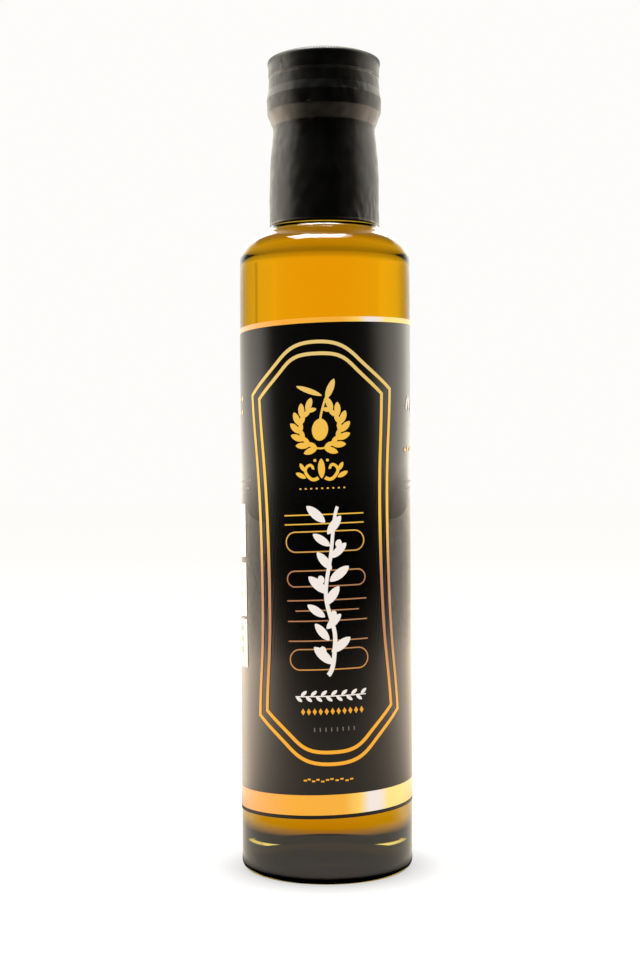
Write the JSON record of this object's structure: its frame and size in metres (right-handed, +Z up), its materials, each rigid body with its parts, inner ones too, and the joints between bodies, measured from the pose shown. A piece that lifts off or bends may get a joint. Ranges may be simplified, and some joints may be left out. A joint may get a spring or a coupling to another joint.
{
  "type": "olive oil bottle",
  "caption": "Tall round clear glass bottle full of olive oil, with a black shrink capsule over its screw cap and a black and gold wrap label put on slightly askew.",
  "frame": {"origin": "middle of the foot, on the plane that the bottle stands on", "axes": "+Z up along the bottle's axis, -Y the front of the label, +X to the right of the label as it is read"},
  "size_m": [0.0488, 0.0488, 0.2308],
  "materials": {
    "bottle_glass": "clear flint glass, polished",
    "olive_oil": "clear golden oil",
    "cap_plastic": "moulded black plastic",
    "capsule_film": "black shrink film, satin",
    "label_film": "black film with gold foil and cream print"
  },
  "bodies": {
    "root": {"glass_bottle": "bottle_glass", "oil": "olive_oil", "screw_cap": "cap_plastic", "shrink_capsule": "capsule_film", "label": "label_film"}
  },
  "joints": []
}
